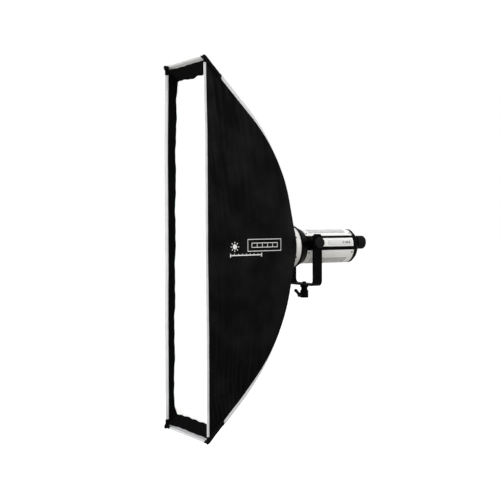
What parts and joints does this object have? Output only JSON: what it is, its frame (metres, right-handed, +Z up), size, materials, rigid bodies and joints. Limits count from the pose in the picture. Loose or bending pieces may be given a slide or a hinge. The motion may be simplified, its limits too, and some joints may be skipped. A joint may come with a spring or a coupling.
{
  "type": "strip softbox",
  "caption": "Narrow bowed fabric strip softbox with a recessed front diffuser, speedring and rods, on a tube-shaped studio light in a tilting yoke with a stand socket.",
  "frame": {"origin": "centre of the stand socket's mouth, on the socket's axis", "axes": "+Z up along the stand spigot, -Y the way the diffuser faces, +X to the right of someone behind the light; the strip stands upright along Z"},
  "size_m": [0.3132, 0.6887, 1.206],
  "materials": {
    "black_fabric": "matt woven polyester, black outside",
    "silver_tape": "satin silver-grey binding tape",
    "diffuser_cloth": "white translucent diffusion cloth",
    "rod_steel": "satin spring steel",
    "tip_plastic": "moulded",
    "ring_silver": "satin silver anodised",
    "dark_steel": "black oxide",
    "black_metal": "fine matt black powder coat",
    "adapter_aluminium": "turned, clear anodised",
    "white_shell": "satin white powder coat",
    "black_plastic": "fine moulded texture",
    "dial_rubber": "soft matt",
    "washer_nylon": "smooth",
    "clear_glass": "polished",
    "display_glass": "polished smoked window",
    "led_phosphor": "phosphor on a white carrier",
    "sink_aluminium": "extruded, satin",
    "board_laminate": "satin laminate"
  },
  "bodies": {
    "stand_bracket": {"yoke": "black_metal", "stand_receiver": "black_metal", "receiver_bolt": "dark_steel"},
    "light_head": {"retaining_ring": "dark_steel", "shell_screws": "dark_steel", "pivot_bolt": "dark_steel", "mount_collar": "black_metal", "neck_cone": "black_metal", "side_rail_left": "black_metal", "side_rail_right": "black_metal", "rear_cap": "black_metal", "adapter_ring": "adapter_aluminium", "upper_shell": "white_shell", "lower_shell": "white_shell", "side_strip_left": "white_shell", "side_strip_right": "white_shell", "power_inlet": "black_plastic", "fan_frame": "black_plastic", "pivot_washers": "washer_nylon", "led_cover_glass": "clear_glass", "display": "display_glass", "led_array": "led_phosphor", "heat_sink": "sink_aluminium", "driver_board": "board_laminate"},
    "softbox": {"side_panel_left": "black_fabric", "side_panel_right": "black_fabric", "top_panel": "black_fabric", "bottom_panel": "black_fabric", "rim_binding_left": "silver_tape", "rim_binding_right": "silver_tape", "rim_binding_top": "silver_tape", "rim_binding_bottom": "silver_tape", "velcro_lip_left": "black_fabric", "velcro_lip_right": "black_fabric", "velcro_lip_top": "black_fabric", "velcro_lip_bottom": "black_fabric", "corner_pocket_upper_left": "black_fabric", "corner_pocket_upper_right": "black_fabric", "corner_pocket_lower_left": "black_fabric", "corner_pocket_lower_right": "black_fabric", "rod_upper_left": "rod_steel", "rod_upper_right": "rod_steel", "rod_lower_left": "rod_steel", "rod_lower_right": "rod_steel", "rod_tips": "tip_plastic", "edge_piping": "silver_tape", "front_diffuser": "diffuser_cloth", "inner_baffle": "diffuser_cloth", "rear_collar": "black_fabric", "speedring": "ring_silver", "speedring_screws": "dark_steel"},
    "lock_lever": {"lock_lever": "black_plastic"},
    "tilt_knob": {"tilt_knob": "black_plastic"},
    "mount_latch": {"mount_latch": "black_plastic"},
    "control_dial": {"control_dial": "dial_rubber"},
    "menu_button": {"menu_button": "black_plastic"},
    "power_switch": {"power_switch": "black_plastic"},
    "fan_rotor": {"fan_rotor": "black_plastic"},
    "rotation_lock": {"rotation_lock_knob": "black_plastic"}
  },
  "joints": [
    {"name": "head_tilt", "type": "hinge", "parent": "stand_bracket", "child": "light_head", "pos_m": [0, 0, 0.189], "axis": [1, 0, 0], "range_deg": [-48, 20]},
    {"name": "box_rotate", "type": "hinge", "parent": "light_head", "child": "softbox", "pos_m": [0, -0.069, 0.174], "axis": [0, 1, 0], "continuous": true},
    {"name": "tilt_knob_turn", "type": "hinge", "parent": "stand_bracket", "child": "tilt_knob", "pos_m": [0.09, 0, 0.189], "axis": [1, 0, 0], "range_deg": [0, 360]},
    {"name": "lock_lever_turn", "type": "hinge", "parent": "stand_bracket", "child": "lock_lever", "pos_m": [0, -0.02, 0.01], "axis": [0, -1, 0], "range_deg": [0, 180]},
    {"name": "rotation_lock_turn", "type": "hinge", "parent": "softbox", "child": "rotation_lock", "pos_m": [-0.078, -0.069, 0.174], "axis": [-1, 0, 0], "range_deg": [0, 360]},
    {"name": "latch_slide", "type": "slide", "parent": "light_head", "child": "mount_latch", "axis": [0, 1, 0], "range_m": [0, 0.005], "stiffness_N_per_m": 300, "springref_m": -0.004},
    {"name": "dial_turn", "type": "hinge", "parent": "light_head", "child": "control_dial", "pos_m": [0.024, 0.212, 0.186], "axis": [0, 1, 0], "continuous": true},
    {"name": "button_press", "type": "slide", "parent": "light_head", "child": "menu_button", "axis": [0, -1, 0], "range_m": [0, 0.0015], "stiffness_N_per_m": 600, "springref_m": -0.001},
    {"name": "switch_rock", "type": "hinge", "parent": "light_head", "child": "power_switch", "pos_m": [-0.022, 0.186, 0.148], "axis": [1, 0, 0], "range_deg": [0, 16]},
    {"name": "fan_spin", "type": "hinge", "parent": "light_head", "child": "fan_rotor", "pos_m": [0, 0.122, 0.174], "axis": [0, 1, 0], "continuous": true}
  ]
}
